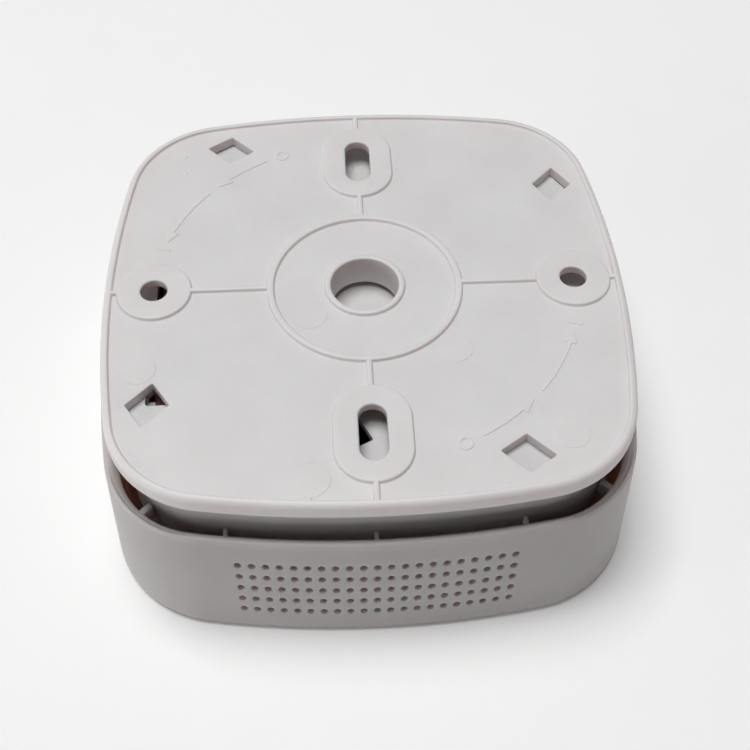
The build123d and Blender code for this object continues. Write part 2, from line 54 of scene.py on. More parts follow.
LIP = dict(half=59.0, corner=19.5, bow=225.0)
PLATE_EDGE = -4.7
PANEL_TOP = -0.8
PANEL_UNDER = -2.4
RIM = 1.8
SCREW_SPACING = 83.3
HOLE_SPACING = 97.0
SLOT_HALF = 3.05
SLOT_LENGTH = 14.2
HOLE_R = 3.1
ENTRY_R = 7.85
COLLAR_R = 9.3
COLLAR_END = -8.4
SLOT_BOSS = dict(length=25, half_width=8.5)
HOLE_BOSS_R = 8.6
RIB_HALF = 0.6
RIB_END = 59.0
RING_INNER = 21.0
RING_OUTER = 22.6
WINDOW_ANGLE = 33.75
WINDOW_REACH = 57.7
WINDOW_DEPTH = 7.8
WINDOW_WIDTH = 7.2
WINDOW_SKEW = 1.6
WINDOW_COLLAR = 1.2
WINDOW_COLLAR_END = -3.45
LEDGE_INNER = 53.0
LEDGE_OUTER = 62.3
SHORT_LEDGE_INNER = 58.2
LEDGE_START = -5.3
LEDGE_STOP = 3.5
STOP_START = -6.6
LEDGE_Z = -5.2
LEDGE_END = -6.4
LEDGE_WALL_END = -6.39
LEDGE_STOP_END = -6.38
BASE_Z = -7.0
FLOOR_Z = -9.0
SKIRT_END = -24.0
SKIRT_WALL = 2.0
RECESS_R = 12.0
RECESS_Z = -9.8
RECESS_WALL = 1.5
BAY = (-49.0, -21.0, -30.3, 26.5)
BAY_END = -26.0
BAY_WALL = 1.5
SERVICE_OPENING = [(-8.0, 0.0), (0.0, 0.0), (0.0, 10.0), (-8.0, 10.0)]
SERVICE_PLACE = (0.2, -39.0, 26.9)
HOOK_SECTION = [
    (6.9, BASE_Z - 0.5), (6.9, -3.6), (-5.0, -3.6), (-5.0, -4.9), (5.3, -4.9), (5.3, BASE_Z - 0.5),
]
HOOK_GAP = 0.6
CASE_SCREWS = [(-42.5, -42.5), (-42.5, 42.5), (42.5, -42.5), (42.5, 42.5)]
CASE_SEAT = -9.8
CASE_BOSS_END = -12.0
CASE_BOSS_R = 5.0
CASE_BORE_R = 1.75
CASE_HEAD_R = 3.3
CASE_POST_R = 4.2
CASE_PILOT_R = 1.35
CASE_PILOT_END = -27.0
BOARD_POSTS = [(44, -12), (6, 47), (-34, 44), (-27, -44)]
BOARD_TOP = -28.0
BOARD_POST_R = 3.2
BOARD_PILOT_R = 1.05
BOARD_PILOT_DEPTH = 9
LIP_Z = -13.0
LIP_EDGE = 1.1
LIP_UNDER = -17.5
FACE_Z = -48.0
FACE_WALL = 2.4
FACE_EDGE = 2.5
INNER_FLOOR = FACE_Z + FACE_WALL
INNER_EDGE = 1.2
FLARE_DEGREES = 3.15
FLARE = tan(radians(FLARE_DEGREES))
COVER_WALL = 2.3
SPACER_SPOTS = (-32.0, 0.0, 32.0)
SPACER_HALF = 0.5
SPACER_Z = -15.0
SPACER_END = -19.5
CORNER_SPACER = dict(x0=68.0, x1=72.0, y0=-0.75, y1=0.75)
GRILLE = dict(columns=21, rows=5, pitch_x=2.98, pitch_z=4.5, z=-30.1, half_width=0.8, half_height=1.1)
CORNER_SPACER_ANGLES = (45.0, 135.0, 225.0, 316.8)
BUTTON_HOLE_R = 9.4
TUBE_R = 11.3
TUBE_WALL = 1.2
TUBE_HEIGHT = 5.4
LED_Y = 19.0
LED_HOLE_R = 1.7

# ---- dimensions of the visual model only ---------------------------------------------------------
MARK_SINK = 0.2
BOSS_EDGE = 0.42
BOSS_SINK = 0.3
MOULD_MARKS = [
    (-50.7, -22.5, 4.0), (-12.8, -8.4, 4.0), (19.2, -19.5, 4.0), (41.7, -43.3, 4.0), (-13.5, -52.6, 4.3),
    (-43.75, 45.8, 0.7), (-43.45, 39.9, 0.7),
]
MOULD_MARK_HEIGHT = 0.11
GATE_MARK = (-13.7, -57.3)
ARROW_R = 49.0
ARROW_WIDTH = 0.55
ARROW_HEAD = 1.5
ARROW_ARCS = [(-62.0, -49.0), (-41.0, -23.0)]
ARROW_HEIGHT = 0.22
ARROW_EDGE = 0.12
RING_MARK_ANGLE = 67
BAR_MARK_ANGLE = 16


# ---- outlines: closed lists of (x, y, normal x, normal y), normals pointing out of the material --
def bowed_square(half, corner, bow, side_steps=26, corner_steps=18):
    """Counter-clockwise square with bowed sides joined by tangent corner arcs."""
    shift = half - bow
    reach = bow - corner
    centre = (shift + sqrt(2 * reach**2 - shift**2)) / 2
    spread = atan2(centre, centre - shift)
    loop = []
    for turn in range(4):
        rays = []
        for step in range(side_steps):
            angle = pi / 2 - spread + 2 * spread * step / side_steps
            rays.append((0, shift, bow, angle))
        for step in range(corner_steps):
            angle = pi / 2 + spread + (pi / 2 - 2 * spread) * step / corner_steps
            rays.append((-centre, centre, corner, angle))
        for x, y, radius, angle in rays:
            point = (x + radius * cos(angle), y + radius * sin(angle), cos(angle), sin(angle))
            loop.append(turned(point, 90 * turn))
    return loop


def turned(point, degrees):
    """An outline point turned about the origin."""
    angle = radians(degrees)
    x, y, nx, ny = point
    return (x * cos(angle) - y * sin(angle), x * sin(angle) + y * cos(angle),
            nx * cos(angle) - ny * sin(angle), nx * sin(angle) + ny * cos(angle))


def placed(loop, x=0.0, y=0.0, degrees=0.0):
    """An outline turned about its own origin, then moved."""
    moved = [turned(point, degrees) for point in loop]
    return [(px + x, py + y, nx, ny) for px, py, nx, ny in moved]


def circle(radius, steps=64):
    """Counter-clockwise circle about the origin."""
    angles = [2 * pi * step / steps for step in range(steps)]
    return [(radius * cos(a), radius * sin(a), cos(a), sin(a)) for a in angles]


def stadium(length, half_width, steps=24):
    """Counter-clockwise slot outline along Y, length measured end to end."""
    reach = length / 2 - half_width
    loop = []
    for step in range(steps + 1):
        a = pi * step / steps
        loop.append((half_width * cos(a), reach + half_width * sin(a), cos(a), sin(a)))
    for step in range(steps + 1):
        a = pi + pi * step / steps
        loop.append((half_width * cos(a), -reach + half_width * sin(a), cos(a), sin(a)))
    return loop


def rounded(corners, radius=0.3, steps=4):
    """Counter-clockwise polygon with every corner rounded; radius may be one number or one per corner."""
    radii = radius if isinstance(radius, (list, tuple)) else [radius] * len(corners)
    loop = []
    for index, corner in enumerate(corners):
        here = Vector(corner)
        back = (here - Vector(corners[index - 1])).normalized()
        ahead = (Vector(corners[(index + 1) % len(corners)]) - here).normalized()
        turn = back.x * ahead.y - back.y * ahead.x
        half_turn = atan2(abs(turn), back.dot(ahead)) / 2
        r = radii[index]
        side = 1 if turn > 0 else -1
        start = here - back * r * tan(half_turn)
        normal = Vector((back.y, -back.x)) * side
        centre = start - normal * r
        first = atan2(normal.y, normal.x)
        for step in range(steps + 1):
            a = first + side * 2 * half_turn * step / steps
            direction = Vector((cos(a), sin(a)))
            point = centre + direction * r
            loop.append((point.x, point.y, direction.x * side, direction.y * side))
    return loop


def hole(loop):
    """The same outline as the edge of a hole: clockwise, with normals into the hole."""
    return [(x, y, -nx, -ny) for x, y, nx, ny in reversed(loop)]


# ---- shells: (points, faces) of closed surfaces --------------------------------------------------
def join(*shells):
    """Several shells as one list of points and faces."""
    points = []
    faces = []
    for shell_points, shell_faces in shells:
        base = len(points)
        points += shell_points
        faces += [[base + index for index in face] for face in shell_faces]
    return points, faces


def slab(loops, low, high, edge=0.25, low_edge=None, steps=3, feet=(), foot=0.35):
    """Plate between two heights with rounded edges; the first loop is its outline, the others are holes.

    Loops numbered in feet also flare out in a fillet where they stand on the plate's panel.
    """
    low_edge = edge if low_edge is None else low_edge
    low_part = []
    foot_part = [(-foot, low)] * (steps + 1)
    top_part = []
    for step in range(steps + 1):
        a = pi / 2 * step / steps
        low_part.append((low_edge * (1 - sin(a)), low + low_edge * (1 - cos(a))))
        top_part.append((edge * (1 - cos(a)), high - edge * (1 - sin(a))))
    for step in range(1, steps + 1):
        a = pi / 2 * step / steps
        foot_part[step] = (-foot * (1 - sin(a)), PANEL_TOP - 0.02 + foot * (1 - cos(a)))
    points = []
    faces = []
    floor_rings = []
    roof_rings = []
    for number, loop in enumerate(loops):
        section = (foot_part if number in feet else low_part) + top_part
        count = len(loop)
        base = len(points)
        for inset, height in section:
            points += [(x - nx * inset, y - ny * inset, height) for x, y, nx, ny in loop]
        for level in range(len(section) - 1):
            for index in range(count):
                after = (index + 1) % count
                low_row = base + level * count
                high_row = low_row + count
                faces.append([low_row + index, low_row + after, high_row + after, high_row + index])
        floor_rings.append(list(range(base, base + count)))
        top = base + (len(section) - 1) * count
        roof_rings.append(list(range(top, top + count)))
    for rings, upward in ((floor_rings, False), (roof_rings, True)):
        flat = [index for ring in rings for index in ring]
        outlines = [[Vector(points[index]) for index in ring] for ring in rings]
        for triangle in tessellate_polygon(outlines):
            corners = [flat[index] for index in triangle]
            a, b, c = (Vector(points[index]) for index in corners)
            if ((b - a).cross(c - a).z > 0) != upward:
                corners.reverse()
            if len(set(corners)) == 3:
                faces.append(corners)
    return points, faces


def rings(levels, closed=False):
    """Surface through a stack of (outline, inset, height) rings; open stacks are capped at both ends."""
    points = []
    faces = []
    count = len(levels[0][0])
    for loop, inset, height in levels:
        points += [(x - nx * inset, y - ny * inset, height) for x, y, nx, ny in loop]
    last = len(levels) if closed else len(levels) - 1
    for level in range(last):
        low_row = level * count
        high_row = (level + 1) % len(levels) * count
        for index in range(count):
            after = (index + 1) % count
            faces.append([low_row + index, low_row + after, high_row + after, high_row + index])
    if not closed:
        faces.append(list(range(count))[::-1])
        faces.append([(len(levels) - 1) * count + index for index in range(count)])
    return points, faces


def ring_section(loop, corners, radii):
    """Closed ring swept along an outline from a rounded section; corners are (offset outwards, height)."""
    section = rounded(corners, radii, 5)
    return rings([(loop, -offset, height) for offset, height, _, _ in section], closed=True)


def turned_shell(profile, x=0.0, y=0.0, steps=64):
    """Solid of revolution about a vertical line from a bottom-to-top list of (radius, height)."""
    base = circle(1.0, steps)
    levels = [([(px * r, py * r, nx, ny) for px, py, nx, ny in base], 0, z) for r, z in profile]
    points, faces = rings(levels)
    return [(px + x, py + y, pz) for px, py, pz in points], faces


def prism(loop, low, high):
    """Sharp-edged cutter between two heights."""
    return rings([(loop, 0, low), (loop, 0, high)])


# ---- objects -------------------------------------------------------------------------------------
MM = 0.001
WELD = 0.000002
SLIVER = 0.000001
SHARP_ANGLE = radians(32.0)


def make(name, shell):
    """Mesh object in metres from a shell in millimetres."""
    points, faces = shell
    mesh = bpy.data.meshes.new(name)
    mesh.from_pydata([Vector(point) * MM for point in points], [], faces)
    builder = bmesh.new()
    builder.from_mesh(mesh)
    bmesh.ops.recalc_face_normals(builder, faces=builder.faces)
    builder.to_mesh(mesh)
    builder.free()
    piece = bpy.data.objects.new(name, mesh)
    bpy.context.scene.collection.objects.link(piece)
    return piece


def combine(piece, shell, operation, overlapping=False):
    """Exact union or difference of a piece with a shell; overlapping says that the shell's parts overlap."""
    other = make("operand", shell)
    modifier = piece.modifiers.new("combine", "BOOLEAN")
    modifier.solver = "EXACT"
    modifier.use_self = overlapping
    modifier.operation = operation
    modifier.object = other
    bpy.context.view_layer.update()
    graph = bpy.context.evaluated_depsgraph_get()
    mesh = bpy.data.meshes.new_from_object(piece.evaluated_get(graph))
    piece.modifiers.clear()
    old = piece.data
    piece.data = mesh
    bpy.data.meshes.remove(old)
    bpy.data.objects.remove(other)
    builder = bmesh.new()
    builder.from_mesh(mesh)
    bmesh.ops.remove_doubles(builder, verts=builder.verts, dist=WELD)
    bmesh.ops.dissolve_degenerate(builder, edges=builder.edges, dist=SLIVER)
    builder.to_mesh(mesh)
    builder.free()


def dress(piece, material, node, body):
    """Smooth shading, material, body and slot for a finished piece that stands for a CAD node."""
    piece.data.materials.clear()
    piece.data.materials.append(material)
    piece.data.shade_smooth()
    piece.data.set_sharp_from_angle(angle=SHARP_ANGLE)
    weigh = piece.modifiers.new("weigh", "WEIGHTED_NORMAL")
    weigh.keep_sharp = True
    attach(piece, body)
    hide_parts(node)


# ---- materials -----------------------------------------------------------------------------------
def link(tree, source, output, target, socket):
    tree.links.new(source.outputs[output], target.inputs[socket])


ROUGHNESS_SPREAD = 0.06
MOTTLE_SCALE = 60.0
GRAIN_HEIGHT = 0.0004
SCATTER_COLOURS = (1.0, 0.68, 0.6)


def surface(name, dark, light, roughness, grain=1800.0, bump=0.02, metallic=0.0, transmission=0.0,
            scattering=0.0, depth=0.003):
    """Principled material with mottled colour, uneven roughness and a fine grain; depth is in metres."""
    material = bpy.data.materials.new(name)
    material.use_nodes = True
    tree = material.node_tree
    shader = tree.nodes["Principled BSDF"]
    shader.inputs["Metallic"].default_value = metallic
    shader.inputs["Transmission Weight"].default_value = transmission
    shader.inputs["Subsurface Weight"].default_value = scattering
    shader.inputs["Subsurface Radius"].default_value = SCATTER_COLOURS
    shader.inputs["Subsurface Scale"].default_value = depth
    place = tree.nodes.new("ShaderNodeTexCoord")
    cloud = tree.nodes.new("ShaderNodeTexNoise")
    cloud.inputs["Scale"].default_value = MOTTLE_SCALE
    cloud.inputs["Detail"].default_value = 5.0
    link(tree, place, "Object", cloud, "Vector")
    tint = tree.nodes.new("ShaderNodeValToRGB")
    tint.color_ramp.elements[0].position = 0.3
    tint.color_ramp.elements[0].color = (*dark, 1)
    tint.color_ramp.elements[1].position = 0.7
    tint.color_ramp.elements[1].color = (*light, 1)
    link(tree, cloud, "Fac", tint, "Fac")
    link(tree, tint, "Color", shader, "Base Color")
    rough = tree.nodes.new("ShaderNodeMapRange")
    rough.inputs["To Min"].default_value = roughness - ROUGHNESS_SPREAD
    rough.inputs["To Max"].default_value = roughness + ROUGHNESS_SPREAD
    link(tree, cloud, "Fac", rough, "Value")
    link(tree, rough, "Result", shader, "Roughness")
    fine = tree.nodes.new("ShaderNodeTexNoise")
    fine.inputs["Scale"].default_value = grain
    fine.inputs["Detail"].default_value = 3.0
    link(tree, place, "Object", fine, "Vector")
    relief = tree.nodes.new("ShaderNodeBump")
    relief.inputs["Strength"].default_value = bump
    relief.inputs["Distance"].default_value = GRAIN_HEIGHT
    link(tree, fine, "Fac", relief, "Height")
    link(tree, relief, "Normal", shader, "Normal")
    return material


WHITE_DARK = (0.745, 0.696, 0.692)
WHITE_LIGHT = (0.790, 0.741, 0.737)
# the housing's colours are a darker copy of the plate's white plastic: painted shade for the gap and the
# openings where it shows
CASE_SHADE_DARK = (0.640, 0.603, 0.598)
CASE_SHADE_LIGHT = (0.685, 0.648, 0.642)
# the cover's colours are a darker copy of the plate's white plastic: painted shade on its walls
COVER_SHADE_DARK = (0.485, 0.453, 0.447)
COVER_SHADE_LIGHT = (0.520, 0.487, 0.480)
MOULDED = dict(roughness=0.5, bump=0.1, grain=2600)
looks = {
    "plate_white": surface("plate_white", WHITE_DARK, WHITE_LIGHT, scattering=0.45, **MOULDED),
    # the housing's material carries the darker colours, painted shade
    "case_white": surface("case_white", CASE_SHADE_DARK, CASE_SHADE_LIGHT, scattering=0.4, **MOULDED),
    "button_white": surface("button_white", WHITE_DARK, WHITE_LIGHT, 0.35, bump=0.05, scattering=0.3),
    "screw_steel": surface("screw_steel", (0.42, 0.42, 0.43), (0.6, 0.6, 0.6), 0.32, metallic=1.0),
    # the battery's copper-brown wrap paints the warm brown shade of the bay where it shows through the
    # plate's openings
    "battery_wrap": surface("battery_wrap", (0.34, 0.16, 0.115), (0.42, 0.2, 0.15), 0.38),
    "snap_black": surface("snap_black", (0.012, 0.012, 0.012), (0.022, 0.022, 0.022), 0.5),
    "tin": surface("tin", (0.55, 0.55, 0.53), (0.7, 0.7, 0.68), 0.28, metallic=1.0),
    "lead_red": surface("lead_red", (0.4, 0.02, 0.015), (0.5, 0.03, 0.02), 0.35),
    "lead_black": surface("lead_black", (0.01, 0.01, 0.01), (0.02, 0.02, 0.02), 0.35),
    "board_green": surface("board_green", (0.01, 0.075, 0.03), (0.015, 0.1, 0.04), 0.3),
    "chip_black": surface("chip_black", (0.012, 0.012, 0.013), (0.02, 0.02, 0.021), 0.5),
    "component_tan": surface("component_tan", (0.25, 0.17, 0.09), (0.34, 0.25, 0.14), 0.4),
    "resistor_body": surface("resistor_body", (0.36, 0.27, 0.14), (0.46, 0.35, 0.2), 0.35),
    "capacitor_sleeve": surface("capacitor_sleeve", (0.01, 0.015, 0.035), (0.02, 0.025, 0.05), 0.3),
    "ferrite": surface("ferrite", (0.02, 0.018, 0.018), (0.035, 0.03, 0.03), 0.55),
    "plunger_black": surface("plunger_black", (0.01, 0.01, 0.01), (0.02, 0.02, 0.02), 0.4),
    "led_red": surface("led_red", (0.5, 0.02, 0.015), (0.62, 0.03, 0.02), 0.12, transmission=0.5),
    "lens_clear": surface("lens_clear", (0.82, 0.84, 0.84), (0.9, 0.92, 0.92), 0.1, transmission=0.85),
    "chamber_black": surface("chamber_black", (0.008, 0.008, 0.008), (0.016, 0.016, 0.016), 0.62),
    "screen_steel": surface("screen_steel", (0.22, 0.22, 0.23), (0.34, 0.34, 0.35), 0.4, metallic=1.0),
    "diode_clear": surface("diode_clear", (0.35, 0.42, 0.52), (0.45, 0.52, 0.62), 0.1, transmission=0.7),
    "diode_dark": surface("diode_dark", (0.01, 0.006, 0.01), (0.02, 0.012, 0.018), 0.12),
    "piezo_brass": surface("piezo_brass", (0.55, 0.38, 0.14), (0.68, 0.5, 0.22), 0.3, metallic=1.0),
    "piezo_white": surface("piezo_white", (0.6, 0.6, 0.56), (0.7, 0.7, 0.66), 0.45),
}

# light goes deeper into the cover than into the housing, so the inside of its thin walls looks warm; the
# cover's colour is a darker copy of the plate's white plastic, painted shade on its walls
cover_white = surface("cover_white", COVER_SHADE_DARK, COVER_SHADE_LIGHT, scattering=0.75, depth=0.007, **MOULDED)

for entry in frame["record"]["subparts"]:
    node = frame["nodes"][entry["node"]]
    node.data.materials.clear()
    node.data.materials.append(looks[entry["material_slot"]])

# ---- mounting plate ------------------------------------------------------------------------------
plate_loop = bowed_square(**PLATE)


def window_loop(grow, radius):
    """Slanted window outline, grown on every side, in its ray's frame."""
    inner = WINDOW_REACH - WINDOW_DEPTH / 2 - grow
    outer = WINDOW_REACH + WINDOW_DEPTH / 2 + grow
    half = WINDOW_WIDTH / 2 + grow
    lean = WINDOW_SKEW / 2
    corners = [(inner, -half - lean), (outer, -half + lean), (outer, half + lean), (inner, half - lean)]
    return rounded(corners, radius)


def on_ray(loop, turn):
    return placed(loop, degrees=WINDOW_ANGLE + 90 * turn)


def box_loop(x0, x1, y0, y1, radius=0.3):
    return rounded([(x0, y0), (x1, y0), (x1, y1), (x0, y1)], radius)


# the panel reaches into the rim, and its holes are wider than those of the bosses that stand in them
panel_reach = 1.3
panel_outline = [(x - nx * panel_reach, y - ny * panel_reach, nx, ny) for x, y, nx, ny in plate_loop]
panel_holes = [hole(on_ray(window_loop(0, 0.35), turn)) for turn in range(4)]
panel_holes += [hole(placed(stadium(SLOT_LENGTH + 1, SLOT_HALF + 0.5), y=side * SCREW_SPACING / 2))
                for side in (-1, 1)]
panel_holes += [hole(placed(circle(HOLE_R + 0.5, 40), x=side * HOLE_SPACING / 2)) for side in (-1, 1)]
panel_holes += [hole(circle(ENTRY_R + 0.6))]
# the rim, the panel, the ring rib, the cable collar and the fillet at the collar's foot
shells = [
    ring_section(
        plate_loop,
        [(0, PLATE_EDGE), (0, 0), (-RIM, 0), (-RIM, PANEL_TOP), (-RIM - 0.9, PANEL_TOP - 0.03),
         (-RIM - 0.9, PANEL_UNDER + 0.2), (-RIM, PANEL_UNDER), (-RIM, PLATE_EDGE)],
        [1.0, 1.35, 0.42, 0.36, 0.05, 0.05, 0.05, 0.4],
    ),
    slab([panel_outline] + panel_holes, PANEL_UNDER, PANEL_TOP, 0.2),
    slab([circle(RING_OUTER, 128), hole(circle(RING_INNER, 128))], PANEL_TOP - BOSS_SINK, 0, BOSS_EDGE,
         feet=(0, 1)),
    slab([circle(COLLAR_R, 80), hole(circle(ENTRY_R, 80))], COLLAR_END, 0, 0.45),
    slab([circle(COLLAR_R + 0.01, 80), hole(circle(COLLAR_R - 0.6, 80))], PANEL_TOP - BOSS_SINK,
         PANEL_TOP + 0.5, 0.2, feet=(0,)),
]
for side in (-1, 1):
    slot_boss = placed(stadium(**SLOT_BOSS, steps=32), y=side * SCREW_SPACING / 2)
    slot = hole(placed(stadium(SLOT_LENGTH, SLOT_HALF), y=side * SCREW_SPACING / 2))
    shells.append(slab([slot_boss, slot], PANEL_UNDER + 0.02, 0, BOSS_EDGE, feet=(0,)))
    hole_boss = placed(circle(HOLE_BOSS_R), x=side * HOLE_SPACING / 2)
    screw_hole = hole(placed(circle(HOLE_R, 40), x=side * HOLE_SPACING / 2))
    shells.append(slab([hole_boss, screw_hole], PANEL_UNDER + 0.02, 0, BOSS_EDGE, feet=(0,)))
# the ribs run from the ring into each boss and from the boss into the rim
rib_spans = [(RING_OUTER - 0.5, HOLE_SPACING / 2 - 8.1), (HOLE_SPACING / 2 + 8.1, RIB_END)]
slot_spans = [(RING_OUTER - 0.5, SCREW_SPACING / 2 - 12.1), (SCREW_SPACING / 2 + 12.1, RIB_END)]
for turn in range(4):
    for start, end in (rib_spans, slot_spans)[turn % 2]:
        rib = box_loop(start, end, -RIB_HALF, RIB_HALF, 0.4)
        shells.append(slab([placed(rib, degrees=90 * turn)], PANEL_TOP - BOSS_SINK, -0.03, 0.38, feet=(0,)))
# a ledge, its wall and its stop end a hundredth apart, so that no two shells share a face
for turn in range(4):
    collar_outer = on_ray(window_loop(WINDOW_COLLAR, 1.0), turn)
    collar_inner = hole(on_ray(window_loop(0.01, 0.35), turn))
    shells.append(slab([collar_outer, collar_inner], WINDOW_COLLAR_END, PANEL_UNDER + 0.2, 0.1))
    inner = SHORT_LEDGE_INNER if turn == 2 else LEDGE_INNER
    ledge = box_loop(inner, LEDGE_OUTER + 0.7, LEDGE_START, LEDGE_STOP, 0.3)
    wall = box_loop(LEDGE_OUTER, LEDGE_OUTER + 1.4, STOP_START, LEDGE_STOP, 0.3)
    stop = box_loop(LEDGE_INNER, LEDGE_OUTER + 0.7, STOP_START, LEDGE_START, 0.3)
    shells.append(slab([on_ray(ledge, turn)], LEDGE_END, LEDGE_Z, 0.2))
    shells.append(slab([on_ray(wall, turn)], LEDGE_WALL_END, PANEL_UNDER + 0.2, 0.2))
    shells.append(slab([on_ray(stop, turn)], LEDGE_STOP_END, PANEL_UNDER + 0.2, 0.2))
# marks left by the mould's ejector pins and gate
for x, y, radius in MOULD_MARKS:
    shells.append(slab([placed(circle(radius, 48), x, y)], PANEL_TOP - MARK_SINK,
                       PANEL_TOP + MOULD_MARK_HEIGHT, 0.1))
shells.append(slab([placed(circle(0.6, 24), *GATE_MARK)], PANEL_TOP - MARK_SINK, PANEL_TOP + 0.3, 0.25))


def arc_arrow(radius, start, end, width, head):
    """Arc with an arrowhead at its end, as an outline; angles in degrees, start below end."""
    steps = 24
    outer = []
    inner = []
    for step in range(steps + 1):
        a = radians(start + (end - start) * step / steps)
        outer.append(((radius + width / 2) * cos(a), (radius + width / 2) * sin(a)))
        inner.append(((radius - width / 2) * cos(a), (radius - width / 2) * sin(a)))
    a = radians(end)
    tip = radians(end + 150 * head / radius)
    barb = [((radius + head) * cos(a), (radius + head) * sin(a)), (radius * cos(tip), radius * sin(tip)),
            ((radius - head) * cos(a), (radius - head) * sin(a))]
    return rounded(outer + barb + inner[::-1], 0.12, 2)


def arrow_relief(*loops):
    """Raised lines of the turning arrows on the panel."""
    return slab(loops, PANEL_TOP - MARK_SINK, PANEL_TOP + ARROW_HEIGHT, ARROW_EDGE, steps=2)


# turning arrows, a ring for open and a bar for shut
for offset in (0, 180):
    for start, end in ARROW_ARCS:
        arrow = arc_arrow(ARROW_R, start, end, ARROW_WIDTH, ARROW_HEAD)
        shells.append(arrow_relief(placed(arrow, degrees=offset)))
    ring_x = ARROW_R * cos(radians(offset - RING_MARK_ANGLE))
    ring_y = ARROW_R * sin(radians(offset - RING_MARK_ANGLE))
    ring_outer = placed(circle(1.7, 32), ring_x, ring_y)
    ring_inner = hole(placed(circle(1.1, 32), ring_x, ring_y))
    shells.append(arrow_relief(ring_outer, ring_inner))
    bar = box_loop(ARROW_R - 1.7, ARROW_R + 1.7, -0.3, 0.3, 0.2)
    shells.append(arrow_relief(placed(bar, degrees=offset - BAR_MARK_ANGLE)))
plate = make("visual_mounting_plate", shells[0])
combine(plate, join(*shells[1:]), "UNION", overlapping=True)
dress(plate, looks["plate_white"], "mounting_plate", "mounting_plate")

# ---- front cover ---------------------------------------------------------------------------------
cover_loop = bowed_square(**COVER)
lip_loop = bowed_square(**LIP)


def arc_levels(loop, centre_inset, centre_z, radius, first, last, steps=6):
    """Rings along an arc of a section; angles in degrees from outwards, anticlockwise towards +Z."""
    levels = []
    for step in range(steps + 1):
        a = radians(first + (last - first) * step / steps)
        levels.append((loop, centre_inset - radius * cos(a), centre_z + radius * sin(a)))
    return levels


def wall_inset(height):
    """Inset of the cover's outer wall at a height."""
    return (height - FACE_Z) * FLARE


# the cover's section, from its face up the outside, over the lip and down the inside to its floor
levels = [(cover_loop, 22.0, FACE_Z), (cover_loop, 8.0, FACE_Z)]
face_inset = FACE_EDGE + wall_inset(FACE_Z + FACE_EDGE)
levels += arc_levels(cover_loop, face_inset, FACE_Z + FACE_EDGE, FACE_EDGE, -90, FLARE_DEGREES, 8)
levels += [(cover_loop, wall_inset(z), z) for z in (-40, -30, -20)]
lip_inset = wall_inset(LIP_Z) + LIP_EDGE
levels += arc_levels(cover_loop, lip_inset, LIP_Z - LIP_EDGE, LIP_EDGE, FLARE_DEGREES, 90, 8)
# the lip rolls over into the tub: (reach outwards from the lip's outline, drop below its top)
for reach, drop in ((1.95, 0.0), (1.6, 0.1), (1.2, 0.42), (0.35, 1.45), (0.08, 1.85), (0.0, 2.2)):
    levels.append((lip_loop, -reach, LIP_Z - drop))
levels += [(lip_loop, 0.0, LIP_UNDER + 0.2), (lip_loop, -0.2, LIP_UNDER)]
levels += [(cover_loop, COVER_WALL + wall_inset(z), z) for z in (LIP_UNDER, -25, -35)]
inner_inset = COVER_WALL + INNER_EDGE + wall_inset(-44)
levels += arc_levels(cover_loop, inner_inset, INNER_FLOOR + INNER_EDGE, INNER_EDGE, FLARE_DEGREES, -90, 4)
levels += [(cover_loop, 22.0, INNER_FLOOR)]
cover = make("visual_front_cover", rings(levels))

additions = []
for turn in range(4):
    for spot in SPACER_SPOTS:
        edge = LIP["half"] - spot**2 / (2 * LIP["bow"])
        rib = box_loop(edge - 2.0, edge + 1.2, spot - SPACER_HALF, spot + SPACER_HALF, 0.35)
        additions.append(slab([placed(rib, degrees=90 * turn)], SPACER_END, SPACER_Z, 0.3))
    rib = box_loop(**CORNER_SPACER, radius=0.35)
    additions.append(slab([placed(rib, degrees=CORNER_SPACER_ANGLES[turn])], SPACER_END, SPACER_Z, 0.3))
for x, y in CASE_SCREWS:
    additions.append(slab([placed(circle(CASE_POST_R, 40), x, y)], INNER_FLOOR - 0.3, CASE_BOSS_END, 0.3))
additions.append(slab([circle(TUBE_R + TUBE_WALL, 96)], INNER_FLOOR - 0.3, INNER_FLOOR + TUBE_HEIGHT, 0.3))
combine(cover, join(*additions), "UNION")


def cover_wall_y(x, z):
    """Y of the -Y wall's outer surface."""
    bow = COVER["bow"] - wall_inset(z)
    return COVER["bow"] - COVER["half"] - sqrt(bow**2 - x**2)


def grille_cutter(x0, z0, steps=20):
    """Oval cutter through the -Y wall with a softened mouth that follows the bowed surface."""
    section = [(0.16, -1.0), (0.16, -0.02), (0.05, 0.06), (0.0, 0.18), (0.0, 5.0)]
    points = []
    faces = []
    for grow, depth in section:
        for step in range(steps):
            a = 2 * pi * step / steps
            x = x0 + (GRILLE["half_width"] + grow) * cos(a)
            z = z0 + (GRILLE["half_height"] + grow) * sin(a)
            points.append((x, cover_wall_y(x, z) + depth, z))
    for level in range(len(section) - 1):
        for step in range(steps):
            after = (step + 1) % steps
            faces.append([level * steps + step, level * steps + after,
                          (level + 1) * steps + after, (level + 1) * steps + step])
    faces.append(list(range(steps)))
    faces.append([(len(section) - 1) * steps + step for step in range(steps)])
    return points, faces


